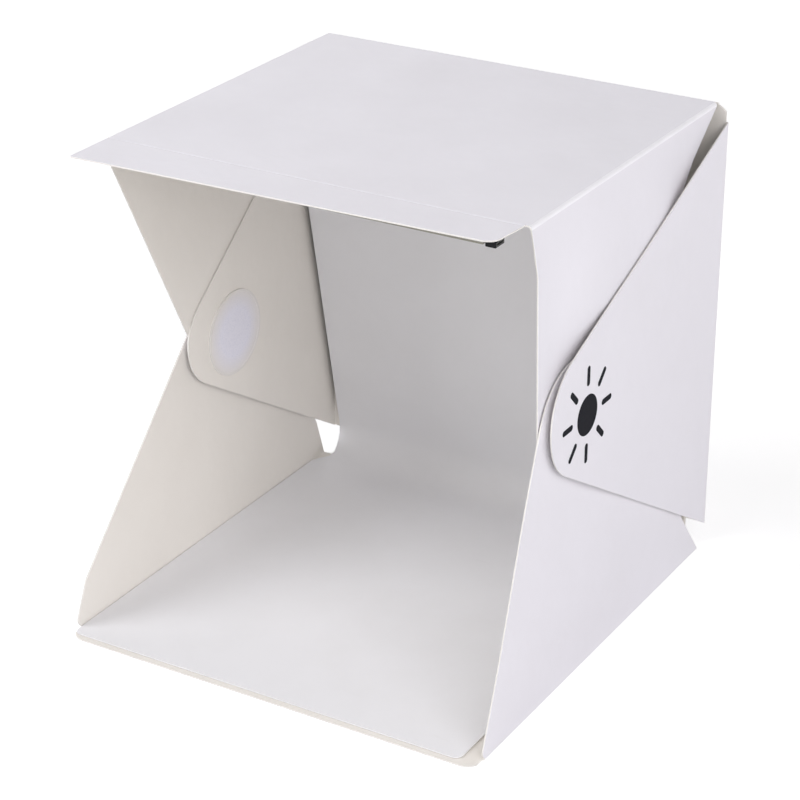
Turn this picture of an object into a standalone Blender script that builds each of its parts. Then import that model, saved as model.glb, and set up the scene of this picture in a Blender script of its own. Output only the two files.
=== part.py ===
"""Folding light tent cube: creased plastic sheets, a curved backdrop and an LED strip.

Metres, +Z up. The open front faces -Y, and the floor is at z = 0.
"""
import math

import bmesh
import bpy
from mathutils import Vector

# Sheets and the box they make
BASE_WIDTH = 0.2244         # over the base panel
BOX_DEPTH = 0.230           # along the base's side creases
BOX_HEIGHT = 0.240          # floor to the top of the roof
SHEET = 0.0008              # thickness of the creased plastic sheet
GAP = 0.0003                # air between pieces that touch
BASE_NOSE = 0.0055          # how far the base runs on in front of its side creases
BASE_CORNER_R = 0.009
TOP_DEPTH = 0.1886          # roof, rear crease to front crease
LIP_DEPTH = 0.0290          # at its left end
LIP_SKEW = 0.0060           # the lip is this much shallower at its right end
LIP_END_SET = 0.0025        # its right end stays clear of the flap
LIP_END_TAPER = 0.0020
LIP_LEFT_R = 0.0015
LIP_RIGHT_R = 0.0065
BACK_CORNER_R = 0.008       # upper right corner of the back panel
RELIEF_HEIGHT = 0.015       # cut-outs at the back panel's feet
RELIEF_INSET = 0.008        # from the base's edge to a cut-out's inner side
BASE_RELIEF = 0.006         # the same at the base's left rear corner, toward the front
BASE_RELIEF_R = 0.0035

# Round hook-and-loop dots; places are y from the base's front crease end, z from the floor
DOT_THICK = 0.0006
DOT_RADIUS = 0.0225
RIGHT_DOT_Y = 0.088
RIGHT_DOT_Z = 0.136
LEFT_DOT_Y = 0.135
LEFT_DOT_Z = 0.108

# Round tips of the side flaps: radius, and centre from the middle of the dot
LOWER_TIP_R = 0.032
RIGHT_LOWER_TIP_SHIFT = (-0.006, -0.003)
RIGHT_UPPER_TIP_R = 0.036
LEFT_UPPER_TIP_R = 0.0285
RIGHT_REAR_TIP_R = 0.0305
RIGHT_REAR_TIP_SHIFT = (-0.004, 0.004)
LEFT_REAR_TIP_R = 0.0265
LEFT_REAR_TIP_SHIFT = (-0.0125, 0.0045)

# Straight edges of the side flaps
FLAP_REAR_SET = 0.002       # flaps on the base and the roof stop this far before the back
FLAP_CORNER_R = 0.004       # lower front corner of the lower flaps
KNEE_SET = 0.010            # bend in the left lower flap's front edge, from its crease end
KNEE_RISE = 0.024
LOWER_HEEL_SET = 0.0068     # bend in its rear edge, from its rear crease end
LOWER_HEEL_RISE = 0.0215
SHOULDER_SET = 0.007        # the right upper flap's front edge steps back from the crease
SHOULDER_DROP = 0.024
BROW_SET = 0.0020           # the same on the left
BROW_DROP = 0.014
HEEL_SET = 0.025            # upper flaps are cut back at their rear end
HEEL_DROP = 0.020
REAR_FLAP_RISE = 0.015      # foot of the rear flaps, over the base
REAR_FLAP_DROP = 0.008      # head of the rear flaps, under the roof

# Curved backdrop sheet
BACKDROP_THICK = 0.0005
BACKDROP_BEND_R = 0.018
BACKDROP_LEAN = math.radians(11.5)
BACKDROP_FRONT_SET = 0.003      # from the base's front edge
BACKDROP_CORNER_R = 0.004
BACKDROP_RIGHT_SET = 0.009      # from the right lower flap
BACKDROP_LEFT_SET = 0.0005      # from the left lower flap, along the floor
BACKDROP_UPRIGHT_SET = 0.007    # the same, where it stands up
BACKDROP_WAIST_SET = 0.0095     # the same, in the bend
BACKDROP_WAIST = 0.3            # share of the bend after which it is that narrow
BACKDROP_TOP_SET = 0.002        # below the roof
BEND_STEPS = 12

# LED strip under the lip
LED_COUNT = 20
LED_LENGTH = 0.0035
LED_WIDTH = 0.0028
LED_HEIGHT = 0.0008
LED_CUT = 0.0003            # bevel round a lamp's lower face
BOARD_WIDTH = 0.010
BOARD_THICK = 0.0010
BOARD_FRONT_SET = 0.0015    # from the lip's front edge, at its right end
BOARD_END = 0.0045          # board past the middle of its last lamp
STRIP_LEFT_SET = 0.0060     # from the lip's left end
STRIP_RIGHT_SET = 0.0003    # socket, from the end of the lip's front edge
TAPE_THICK = 0.0002
TAPE_WIDTH = 0.008
RESISTOR_COUNT = 4
RESISTOR_LENGTH = 0.0020
RESISTOR_WIDTH = 0.00125
RESISTOR_HEIGHT = 0.0005

# Power socket at the strip's right end
HOUSING_LENGTH = 0.0050
HOUSING_WIDTH = 0.0076
HOUSING_HEIGHT = 0.0027
HOUSING_BEVEL = 0.0003
HOUSING_WALL = 0.0006       # behind the socket shell
SHELL_WIDTH = 0.0058
SHELL_HEIGHT = 0.0015
SHELL_WALL = 0.0002
TONGUE_LENGTH = 0.0028
TONGUE_WIDTH = 0.0032
TONGUE_HEIGHT = 0.0004

ARC_STEP = math.radians(7.5)
SMOOTH_ANGLE = math.radians(30)

# Colours (linear RGB), roughness, metallic
WHITE_SHEET = ((0.80, 0.79, 0.82), 0.45, 0.0)
BACKDROP_WHITE = ((0.78, 0.78, 0.79), 0.60, 0.0)
DOT_WHITE = ((0.74, 0.75, 0.80), 0.85, 0.0)
BOARD_WHITE = ((0.70, 0.71, 0.70), 0.35, 0.0)
TAPE_GREY = ((0.42, 0.43, 0.42), 0.70, 0.0)
LED_CREAM = ((0.85, 0.76, 0.40), 0.30, 0.0)
CHIP_BLACK = ((0.03, 0.03, 0.035), 0.40, 0.0)
SOCKET_BLACK = ((0.02, 0.02, 0.022), 0.35, 0.0)
STEEL = ((0.62, 0.62, 0.60), 0.25, 1.0)

# Outsides of the side layers, from the middle of the box
LAYER = SHEET + 3 * GAP + 2 * DOT_THICK     # one sheet and a mated pair of dots
LOWER_OUT = BASE_WIDTH / 2
UPPER_OUT = LOWER_OUT - LAYER
REAR_RIGHT_OUT = LOWER_OUT + LAYER          # outermost on the right
REAR_LEFT_OUT = UPPER_OUT - SHEET - GAP     # tucked inside the others on the left
LIP_HALF = UPPER_OUT - SHEET - GAP          # folds down between the upper flaps

# Levels and pivots worked out from the sizes above
Y_FRONT = -BOX_DEPTH / 2
Y_REAR = BOX_DEPTH / 2
Y_CREASE = Y_REAR - TOP_DEPTH
Y_LIP_LEFT = Y_CREASE - LIP_DEPTH
Y_LIP_RIGHT = Y_LIP_LEFT + LIP_SKEW
Y_NOSE = Y_FRONT - BASE_NOSE
Y_BACK_IN = Y_REAR - SHEET                  # inside of the back panel
Z_FLOOR = SHEET + GAP                       # what stands on the base starts here
Z_ROOF = BOX_HEIGHT - SHEET                 # underside of the roof
Z_HANG = Z_ROOF - GAP                       # what hangs from the roof starts here
Z_BASE_PIVOT = SHEET + GAP / 2
Z_ROOF_PIVOT = Z_ROOF - GAP / 2
Y_BACK_PIVOT = Y_REAR + GAP / 2
FLAP_END = BOX_DEPTH - FLAP_REAR_SET
LIP_RIGHT = LIP_HALF - LIP_END_SET
STRIP_LEFT = STRIP_LEFT_SET - LIP_HALF
STRIP_RIGHT = LIP_RIGHT - LIP_END_TAPER - STRIP_RIGHT_SET
BOARD_LENGTH = STRIP_RIGHT - HOUSING_LENGTH - GAP - STRIP_LEFT
LED_PITCH = (BOARD_LENGTH - 2 * BOARD_END) / (LED_COUNT - 1)
Y_BOARD = Y_LIP_RIGHT + BOARD_FRONT_SET + BOARD_WIDTH / 2

RIGHT = 1
LEFT = -1
SIDE_NAME = {RIGHT: "right", LEFT: "left"}
DOT_PLACE = {RIGHT: (RIGHT_DOT_Y, RIGHT_DOT_Z), LEFT: (LEFT_DOT_Y, LEFT_DOT_Z)}


def clear_scene():
    for old in list(bpy.data.objects):
        bpy.data.objects.remove(old, do_unlink=True)


def make_material(name, look):
    colour, roughness, metallic = look
    material = bpy.data.materials.new(name)
    material.use_nodes = True
    shader = material.node_tree.nodes["Principled BSDF"]
    shader.inputs["Base Color"].default_value = (*colour, 1.0)
    shader.inputs["Roughness"].default_value = roughness
    shader.inputs["Metallic"].default_value = metallic
    material.diffuse_color = (*colour, 1.0)
    return material


def add_object(name, bm, look, pivot, parent=None):
    """Turn geometry in world places into an object whose origin is its pivot."""
    bmesh.ops.recalc_face_normals(bm, faces=bm.faces)
    origin = Vector(pivot)
    bmesh.ops.translate(bm, verts=bm.verts, vec=-origin)
    mesh = bpy.data.meshes.new(name)
    bm.to_mesh(mesh)
    bm.free()
    mesh.shade_smooth()
    mesh.set_sharp_from_angle(angle=SMOOTH_ANGLE)
    mesh.materials.append(make_material(name, look))
    obj = bpy.data.objects.new(name, mesh)
    bpy.context.scene.collection.objects.link(obj)
    obj.location = origin
    if parent is not None:
        obj.parent = parent
        obj.location = origin - parent.matrix_world.translation
    bpy.context.view_layer.update()
    return obj


def arc(centre, radius, start, end):
    """Points from angle start to angle end, both included."""
    steps = max(2, math.ceil(abs(end - start) / ARC_STEP))
    turn = (end - start) / steps
    return [(centre[0] + radius * math.cos(start + turn * i),
             centre[1] + radius * math.sin(start + turn * i)) for i in range(steps + 1)]


def round_corner(before, corner, after, radius):
    """Arc that replaces one corner of an outline."""
    here = Vector(corner)
    back = (Vector(before) - here).normalized()
    ahead = (Vector(after) - here).normalized()
    half = back.angle(ahead) / 2
    centre = here + (back + ahead).normalized() * radius / math.sin(half)
    first = here + back * radius / math.tan(half) - centre
    last = here + ahead * radius / math.tan(half) - centre
    start = math.atan2(first.y, first.x)
    sweep = math.atan2(last.y, last.x) - start
    sweep = (sweep + math.pi) % math.tau - math.pi
    return arc(centre, radius, start, start + sweep)


def rounded(points, radii):
    """Outline in which the corners at the given indices are rounded."""
    outline = []
    for i, point in enumerate(points):
        if i in radii:
            outline += round_corner(points[i - 1], point, points[(i + 1) % len(points)], radii[i])
        else:
            outline.append(point)
    return outline


def touch_angle(point, centre, radius, turn):
    """Angle on a circle at which a straight line from a point touches it."""
    away = Vector(point) - Vector(centre)
    return math.atan2(away.y, away.x) + turn * math.acos(radius / away.length)


def round_tip(start, end, centre, radius, turn):
    """Round tip between the straight edges that come from start and run on to end."""
    first = touch_angle(start, centre, radius, turn)
    last = touch_angle(end, centre, radius, -turn)
    while turn * (last - first) < 0:
        last += turn * math.tau
    return arc(centre, radius, first, last)


def slab(outline, axis, low, thickness):
    """Plate of an outline; axis 0, 1 or 2 is the direction of its thickness."""
    bm = bmesh.new()
    verts = []
    for a, b in outline:
        place = [a, b]
        place.insert(axis, low)
        verts.append(bm.verts.new(place))
    face = bm.faces.new(verts)
    grown = bmesh.ops.extrude_face_region(bm, geom=[face])
    far = [item for item in grown["geom"] if isinstance(item, bmesh.types.BMVert)]
    shift = Vector((0, 0, 0))
    shift[axis] = thickness
    bmesh.ops.translate(bm, verts=far, vec=shift)
    return bm


def box(low, size):
    """Block from its lowest corner."""
    x, y, z = low
    outline = [(x, y), (x + size[0], y), (x + size[0], y + size[1]), (x, y + size[1])]
    return slab(outline, 2, z, size[2])


def side_slab(outline, side, outside, thickness):
    """Upright plate in a side wall; its outline runs from the base's front crease end."""
    low = outside - thickness if side == RIGHT else -outside
    return slab([(Y_FRONT + y, z) for y, z in outline], 0, low, thickness)


def build_base():
    """Base panel, cut away at its left rear corner."""
    half = LOWER_OUT
    foot = RELIEF_INSET - LOWER_OUT
    step = Y_REAR - BASE_RELIEF
    corners = [(-half, Y_NOSE), (half, Y_NOSE), (half, Y_REAR), (foot, Y_REAR),
               (foot, step), (-half, step)]
    outline = rounded(corners, {0: BASE_CORNER_R, 1: BASE_CORNER_R, 4: BASE_RELIEF_R})
    return add_object("base_panel", slab(outline, 2, 0, SHEET), WHITE_SHEET, (0, 0, 0))


def build_back(base):
    """Back panel, cut away at its feet, from one rear flap's crease to the other's."""
    left = -REAR_LEFT_OUT
    right = REAR_RIGHT_OUT
    foot = LOWER_OUT - RELIEF_INSET
    step = Z_FLOOR + RELIEF_HEIGHT
    corners = [(-foot, Z_FLOOR), (foot, Z_FLOOR), (foot, step), (right, step),
               (right, Z_HANG), (left, Z_HANG), (left, step), (-foot, step)]
    outline = rounded(corners, {4: BACK_CORNER_R})
    pivot = (0, Y_BACK_PIVOT, Z_BASE_PIVOT)
    return add_object("back_panel", slab(outline, 1, Y_BACK_IN, SHEET), WHITE_SHEET, pivot, base)


def build_top(back):
    half = UPPER_OUT
    outline = [(-half, Y_CREASE), (half, Y_CREASE), (half, Y_REAR), (-half, Y_REAR)]
    pivot = (0, Y_BACK_PIVOT, Z_ROOF_PIVOT)
    return add_object("top_panel", slab(outline, 2, Z_ROOF, SHEET), WHITE_SHEET, pivot, back)


def build_lip(top):
    rear = Y_CREASE - GAP
    corners = [(-LIP_HALF, Y_LIP_LEFT), (LIP_RIGHT - LIP_END_TAPER, Y_LIP_RIGHT),
               (LIP_RIGHT, rear), (-LIP_HALF, rear)]
    outline = rounded(corners, {0: LIP_LEFT_R, 1: LIP_RIGHT_R})
    pivot = (0, Y_CREASE - GAP / 2, Z_ROOF_PIVOT)
    return add_object("front_lip", slab(outline, 2, Z_ROOF, SHEET), WHITE_SHEET, pivot, top)


def shifted_dot(side, shift):
    y, z = DOT_PLACE[side]
    return (y + shift[0], z + shift[1])


def lower_flap(side, base):
    """Flap that stands on a side edge of the base."""
    if side == RIGHT:
        front = [(0, Z_FLOOR)]
        rear = [(FLAP_END, Z_FLOOR)]
        centre = shifted_dot(side, RIGHT_LOWER_TIP_SHIFT)
    else:
        end = BOX_DEPTH - BASE_RELIEF - GAP
        front = [(0, Z_FLOOR), (KNEE_SET, KNEE_RISE)]
        rear = [(end - LOWER_HEEL_SET, LOWER_HEEL_RISE), (end, Z_FLOOR)]
        centre = DOT_PLACE[side]
    edge = front[1:] + round_tip(front[-1], rear[0], centre, LOWER_TIP_R, -1) + rear
    outline = round_corner(rear[-1], front[0], edge[0], FLAP_CORNER_R) + edge
    bm = side_slab(outline, side, LOWER_OUT, SHEET)
    pivot = (side * (LOWER_OUT + GAP / 2), 0, Z_BASE_PIVOT)
    return add_object("lower_flap_" + SIDE_NAME[side], bm, WHITE_SHEET, pivot, base)


def upper_flap(side, top):
    """Flap that hangs from a side edge of the roof, inside the lower flap."""
    crease = Y_CREASE - Y_FRONT
    if side == RIGHT:
        bend = (crease + SHOULDER_SET, Z_HANG - SHOULDER_DROP)
        radius = RIGHT_UPPER_TIP_R
    else:
        bend = (crease + BROW_SET, Z_HANG - BROW_DROP)
        radius = LEFT_UPPER_TIP_R
    heel = (FLAP_END - HEEL_SET, Z_HANG - HEEL_DROP)
    tip = round_tip(bend, heel, DOT_PLACE[side], radius, 1)
    outline = [(crease, Z_HANG), bend] + tip + [heel, (FLAP_END, Z_HANG)]
    bm = side_slab(outline, side, UPPER_OUT, SHEET)
    pivot = (side * (UPPER_OUT + GAP / 2), 0, Z_ROOF_PIVOT)
    return add_object("upper_flap_" + SIDE_NAME[side], bm, WHITE_SHEET, pivot, top)


def rear_flap(side, back):
    """Flap on a side edge of the back: outermost on the right, tucked in on the left."""
    if side == RIGHT:
        outside, radius, shift = REAR_RIGHT_OUT, RIGHT_REAR_TIP_R, RIGHT_REAR_TIP_SHIFT
    else:
        outside, radius, shift = REAR_LEFT_OUT, LEFT_REAR_TIP_R, LEFT_REAR_TIP_SHIFT
    crease = Y_BACK_IN - GAP - Y_FRONT
    high = (crease, Z_HANG - REAR_FLAP_DROP)
    low = (crease, Z_FLOOR + REAR_FLAP_RISE)
    outline = [high] + round_tip(high, low, shifted_dot(side, shift), radius, 1) + [low]
    bm = side_slab(outline, side, outside, SHEET)
    pivot = (side * (outside + GAP / 2), Y_BACK_IN - GAP / 2, 0)
    return add_object("rear_flap_" + SIDE_NAME[side], bm, WHITE_SHEET, pivot, back)


def add_dot(name, side, outside, flap):
    """Round dot on a flap, with its outer face at the given place."""
    y, z = DOT_PLACE[side]
    bm = side_slab(arc((y, z), DOT_RADIUS, 0, math.tau)[:-1], side, outside, DOT_THICK)
    pivot = (side * (outside - DOT_THICK / 2), Y_FRONT + y, z)
    add_object(name + SIDE_NAME[side], bm, DOT_WHITE, pivot, flap)


def build_side(side, base, back, top):
    lower = lower_flap(side, base)
    upper = upper_flap(side, top)
    rear = rear_flap(side, back)
    rear_out = REAR_RIGHT_OUT if side == RIGHT else REAR_LEFT_OUT
    add_dot("dot_lower_outside_", side, LOWER_OUT + GAP + DOT_THICK, lower)
    add_dot("dot_lower_inside_", side, LOWER_OUT - SHEET - GAP, lower)
    add_dot("dot_upper_", side, UPPER_OUT + GAP + DOT_THICK, upper)
    add_dot("dot_rear_", side, rear_out - SHEET - GAP, rear)


def backdrop_front_rows(y, left, right):
    """Rounded front corners of the sheet, as (y, z, left edge, right edge, slope)."""
    corner = arc((0, 0), BACKDROP_CORNER_R, 0, math.pi / 2)
    return [(y + BACKDROP_CORNER_R - along, Z_FLOOR, left + BACKDROP_CORNER_R - out,
             right - BACKDROP_CORNER_R + out, 0) for along, out in corner]


def backdrop_left_edge(share):
    """Left edge in the bend: quickly in to the waist, then slowly out to the upright."""
    inside = SHEET - LOWER_OUT
    ease = min(1, share / BACKDROP_WAIST)
    ease = ease * ease * (3 - 2 * ease)
    floor = inside + BACKDROP_LEFT_SET
    waist = inside + BACKDROP_WAIST_SET
    upright = inside + BACKDROP_UPRIGHT_SET
    return floor + (waist - floor) * ease + (upright - waist) * share * ease


def backdrop_bend_rows(right):
    """Bend from the floor to the upright, which the sheet enters narrower on the left."""
    radius = BACKDROP_BEND_R
    y_bend = Y_BACK_IN - GAP - radius
    turn = math.pi / 2 + BACKDROP_LEAN
    rows = []
    for i in range(BEND_STEPS + 1):
        slope = turn * i / BEND_STEPS
        rows.append((y_bend + radius * math.sin(slope),
                     Z_FLOOR + radius * (1 - math.cos(slope)),
                     backdrop_left_edge(i / BEND_STEPS), right, slope))
    return rows


def backdrop_rows():
    """Underside of the whole sheet, from its front edge to its top edge."""
    right = LOWER_OUT - SHEET - BACKDROP_RIGHT_SET
    rows = backdrop_front_rows(Y_NOSE + BACKDROP_FRONT_SET, backdrop_left_edge(0), right)
    rows += backdrop_bend_rows(right)
    y, z, left, right, slope = rows[-1]
    rise = Z_ROOF - BACKDROP_TOP_SET - z
    rows.append((y - rise * math.tan(BACKDROP_LEAN), z + rise, left, right, slope))
    return rows


def build_backdrop(base):
    bm = bmesh.new()
    rings = []
    for y, z, left, right, slope in backdrop_rows():
        under = Vector((0, y, z))
        over = under + Vector((0, -math.sin(slope), math.cos(slope))) * BACKDROP_THICK
        places = [end + Vector((x, 0, 0)) for x, end in
                  ((left, under), (right, under), (right, over), (left, over))]
        rings.append([bm.verts.new(place) for place in places])
    for near, far in zip(rings, rings[1:]):
        for i in range(4):
            bm.faces.new((near[i], near[(i + 1) % 4], far[(i + 1) % 4], far[i]))
    bm.faces.new(rings[0])
    bm.faces.new(rings[-1])
    add_object("backdrop_sheet", bm, BACKDROP_WHITE, (0, 0, 0), base)


def led_x(index):
    return STRIP_LEFT + BOARD_END + LED_PITCH * index


def build_strip(lip):
    """Tape on the lip, board on the tape, lamps and chips on the board."""
    z_tape = Z_HANG - TAPE_THICK
    low = (STRIP_LEFT, Y_BOARD - TAPE_WIDTH / 2, z_tape)
    add_object("led_tape", box(low, (BOARD_LENGTH, TAPE_WIDTH, TAPE_THICK)), TAPE_GREY, low, lip)
    z_board = z_tape - GAP - BOARD_THICK
    low = (STRIP_LEFT, Y_BOARD - BOARD_WIDTH / 2, z_board)
    add_object("led_board", box(low, (BOARD_LENGTH, BOARD_WIDTH, BOARD_THICK)), BOARD_WHITE,
               low, lip)
    for i in range(LED_COUNT):
        build_led(i, z_board - GAP, lip)
    for i in range(RESISTOR_COUNT):
        build_resistor(i, z_board - GAP, lip)


def build_led(index, z_top, lip):
    x = led_x(index)
    low = (x - LED_LENGTH / 2, Y_BOARD - LED_WIDTH / 2, z_top - LED_HEIGHT)
    bm = box(low, (LED_LENGTH, LED_WIDTH, LED_HEIGHT))
    face = min(bm.faces, key=lambda item: item.calc_center_median().z)
    bmesh.ops.bevel(bm, geom=list(face.edges), offset=LED_CUT, segments=1, profile=0.5,
                    affect="EDGES", material=-1)
    add_object(f"led_{index + 1:02d}", bm, LED_CREAM, (x, Y_BOARD, z_top), lip)


def build_resistor(index, z_top, lip):
    """Chip between two lamps, one for each group of lamps."""
    group = LED_COUNT // RESISTOR_COUNT
    x = led_x(index * group + group // 2) + LED_PITCH / 2
    low = (x - RESISTOR_LENGTH / 2, Y_BOARD - RESISTOR_WIDTH / 2, z_top - RESISTOR_HEIGHT)
    bm = box(low, (RESISTOR_LENGTH, RESISTOR_WIDTH, RESISTOR_HEIGHT))
    add_object(f"resistor_{index + 1:02d}", bm, CHIP_BLACK, (x, Y_BOARD, z_top), lip)


def build_housing(x, z_middle, lip):
    """Black block with a pocket for the socket shell in its +X end."""
    low = (x, Y_BOARD - HOUSING_WIDTH / 2, z_middle - HOUSING_HEIGHT / 2)
    bm = box(low, (HOUSING_LENGTH, HOUSING_WIDTH, HOUSING_HEIGHT))
    housing = add_object("socket_housing", bm, SOCKET_BLACK, low, lip)
    bevel = housing.modifiers.new("edges", "BEVEL")
    bevel.width = HOUSING_BEVEL
    bevel.segments = 2
    bevel.limit_method = "ANGLE"
    width = SHELL_WIDTH + 2 * GAP
    height = SHELL_HEIGHT + 2 * GAP
    low = (x + HOUSING_WALL, Y_BOARD - width / 2, z_middle - height / 2)
    cutter = add_object("pocket_cutter", box(low, (HOUSING_LENGTH, width, height)),
                        SOCKET_BLACK, low, lip)
    cutter.hide_render = True
    cutter.display_type = "WIRE"
    pocket = housing.modifiers.new("pocket", "BOOLEAN")
    pocket.operation = "DIFFERENCE"
    pocket.solver = "EXACT"
    pocket.object = cutter


def build_shell(x, z_middle, lip):
    """Thin metal cup that is open toward +X."""
    length = HOUSING_LENGTH - HOUSING_WALL - GAP
    low = (x, Y_BOARD - SHELL_WIDTH / 2, z_middle - SHELL_HEIGHT / 2)
    bm = box(low, (length, SHELL_WIDTH, SHELL_HEIGHT))
    mouth = max(bm.faces, key=lambda item: item.calc_center_median().x)
    bmesh.ops.inset_region(bm, faces=[mouth], thickness=SHELL_WALL)
    grown = bmesh.ops.extrude_face_region(bm, geom=[mouth])
    floor = [item for item in grown["geom"] if isinstance(item, bmesh.types.BMVert)]
    bmesh.ops.delete(bm, geom=[mouth], context="FACES_ONLY")
    bmesh.ops.translate(bm, verts=floor, vec=(SHELL_WALL - length, 0, 0))
    add_object("socket_shell", bm, STEEL, low, lip)


def build_socket(lip):
    x = STRIP_LEFT + BOARD_LENGTH + GAP
    z_middle = Z_HANG - HOUSING_HEIGHT / 2
    build_housing(x, z_middle, lip)
    x += HOUSING_WALL + GAP
    build_shell(x, z_middle, lip)
    low = (x + SHELL_WALL + GAP, Y_BOARD - TONGUE_WIDTH / 2, z_middle - TONGUE_HEIGHT / 2)
    add_object("socket_tongue", box(low, (TONGUE_LENGTH, TONGUE_WIDTH, TONGUE_HEIGHT)),
               SOCKET_BLACK, low, lip)


def main():
    clear_scene()
    base = build_base()
    back = build_back(base)
    top = build_top(back)
    lip = build_lip(top)
    build_side(RIGHT, base, back, top)
    build_side(LEFT, base, back, top)
    build_backdrop(base)
    build_strip(lip)
    build_socket(lip)


main()
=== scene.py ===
"""Looks of a folding light tent cube: creased sheets, curved backdrop, dots and an LED strip.

Metres, +Z up. The open front faces -Y, and the floor is at z = 0.
"""
import math

import bmesh
import bpy
from mathutils import Matrix, Vector


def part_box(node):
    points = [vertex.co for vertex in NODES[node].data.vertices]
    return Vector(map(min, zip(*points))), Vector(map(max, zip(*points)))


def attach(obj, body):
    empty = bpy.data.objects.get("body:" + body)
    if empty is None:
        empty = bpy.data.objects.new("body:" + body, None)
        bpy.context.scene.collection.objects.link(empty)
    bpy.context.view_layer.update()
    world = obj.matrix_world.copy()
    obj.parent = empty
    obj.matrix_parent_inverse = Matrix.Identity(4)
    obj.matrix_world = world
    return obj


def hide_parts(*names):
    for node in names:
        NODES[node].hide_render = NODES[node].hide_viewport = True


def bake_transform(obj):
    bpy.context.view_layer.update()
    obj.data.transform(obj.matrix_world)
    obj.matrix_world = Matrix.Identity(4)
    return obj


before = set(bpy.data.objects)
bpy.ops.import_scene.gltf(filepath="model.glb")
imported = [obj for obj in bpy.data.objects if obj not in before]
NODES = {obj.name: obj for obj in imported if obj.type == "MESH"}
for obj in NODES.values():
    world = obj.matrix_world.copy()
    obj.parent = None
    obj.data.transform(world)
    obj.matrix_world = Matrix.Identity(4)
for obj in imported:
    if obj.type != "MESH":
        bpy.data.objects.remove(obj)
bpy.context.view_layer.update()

# Camera
IMAGE_WIDTH = 800
SENSOR = 36.0
FOCAL_PIXELS = 2456.5
CAMERA_TURN = 0.53685
CAMERA_RISE = 0.44489
CAMERA_DISTANCE = 1.22452
CAMERA_RIGHT = 0.00182
CAMERA_UP = 0.09408
VIEW_REACH = 48.0

# Studio: strengths, and lamps as (name, place, size, watts, colour)
FLOOR_RADIUS = 12.0
FLOOR_SIDES = 96
AMBIENT = 0.205
FLOOR_LIFT = 0.42
FLOOR_FAR_LIFT = 0.6        # added where the floor is too far off to be lit
FLOOR_FAR = (0.9, 3.0)
FLOOR_GREY = (0.90, 0.90, 0.90, 1.0)
FLOOR_ROUGHNESS = 0.85
FLOOR_SHINE = 0.1
WHITE = (1.0, 1.0, 1.0, 1.0)
AMBIENT_TINT = (1.0, 0.995, 1.0, 1.0)
LAMP_AIM = (0.0, 0.0, 0.12)
LAMPS = (
    ("window_right", (1.9, -1.5, 1.5), 2.0, 45.5, (1.0, 0.985, 1.0)),
    ("window_left", (-1.8, -1.6, 1.5), 2.0, 55.0, (0.99, 0.985, 1.0)),
    ("side_right", (2.4, 0.2, 0.9), 1.6, 10.0, (1.0, 0.985, 1.0)),
    ("wall_behind", (-2.0, 1.9, 0.8), 2.2, 15.0, (1.0, 0.99, 0.985)),
)

# Creased sheet, as it was cut
SHEET = 0.0008
GAP = 0.0003
FOLD_R = 0.0016             # outside of a fold
FOLD_STEPS = 10
SCORE_DEPTH = 0.00022       # groove of the crease between roof and lip
SCORE_HALF = 0.0008         # from the groove's middle to whole sheet
SCORE_STEPS = 12
CUT_ROUND = 0.00018         # softened arris of a cut edge
CUT_STEPS = 2
UNIT_HALF = 0.5             # grids start as a unit square
MERGE = 1e-6
IN_PLANE = 1e-5             # how close a corner is to a cut that it lies on
FLAT_ANGLE = math.radians(1.0)
ARRIS_ANGLE = math.radians(40)
SMOOTH_ANGLE = math.radians(35)
FACING = 0.5                # cosine past which a face looks one way, and not sideways
BROAD_FACING = 0.98         # faces that lie in the sheet's plane
BOW_GRID = 0.008
RIGHT = 1
LEFT = -1
SIDES = (("right", RIGHT), ("left", LEFT))
OUTSIDE, INSIDE, CUT = range(3)     # finishes of a sheet's faces

# From sRGB to light
TOP_STEP = 255
DARK_SHARE = 0.04045        # a straight line below this share, a curve above
DARK_SLOPE = 12.92
CURVE_SHIFT = 0.055
CURVE_POWER = 2.4


def plain_light(level):
    """Linear value of one sRGB step from 0 to 255."""
    share = level / TOP_STEP
    if share <= DARK_SHARE:
        return share / DARK_SLOPE
    return ((share + CURVE_SHIFT) / (1 + CURVE_SHIFT)) ** CURVE_POWER


def paint(red, green, blue):
    return (plain_light(red), plain_light(green), plain_light(blue), 1.0)


# Finishes
SHEET_OUTSIDE = paint(233, 231, 237)
# painted warm light: the inside faces are painted warmer than the outside, for the light that
# bounces inside the box
SHEET_INSIDE_WARM_LIGHT = paint(235, 231, 225)
SHEET_CORE = paint(235, 233, 230)
SHEET_CORE_DARK = paint(218, 215, 210)
SHEET_SHINE = 0.3
OUTSIDE_SOIL = paint(214, 211, 214)
CREASE_PAINTED_HIGHLIGHT = paint(248, 247, 251)     # painted highlight: the folds are painted lighter than the sheet, for the light that catches them
# soil tone of the folds, lifted by the same painted highlight
CREASE_SOIL_ON_PAINTED_HIGHLIGHT = paint(232, 230, 234)
# soil tone of the inside faces, in the same painted warm light
INSIDE_SOIL_WARM_LIGHT = paint(216, 211, 204)
BACKDROP_PAINT = paint(235, 235, 238)
BACKDROP_SOIL = paint(214, 213, 212)
DOT_CLOTH = paint(233, 232, 243)
DOT_SHADE = paint(222, 222, 236)
DOT_EDGE = paint(229, 225, 222)
DOT_RIM_PAINT = paint(229, 226, 223)
DOT_RIM_SHADE = paint(221, 218, 216)
INK = paint(24, 24, 30)
INK_WORN = paint(40, 40, 46)
BOARD_MASK = paint(230, 232, 230)
BOARD_MASK_DARK = paint(212, 215, 212)

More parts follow.
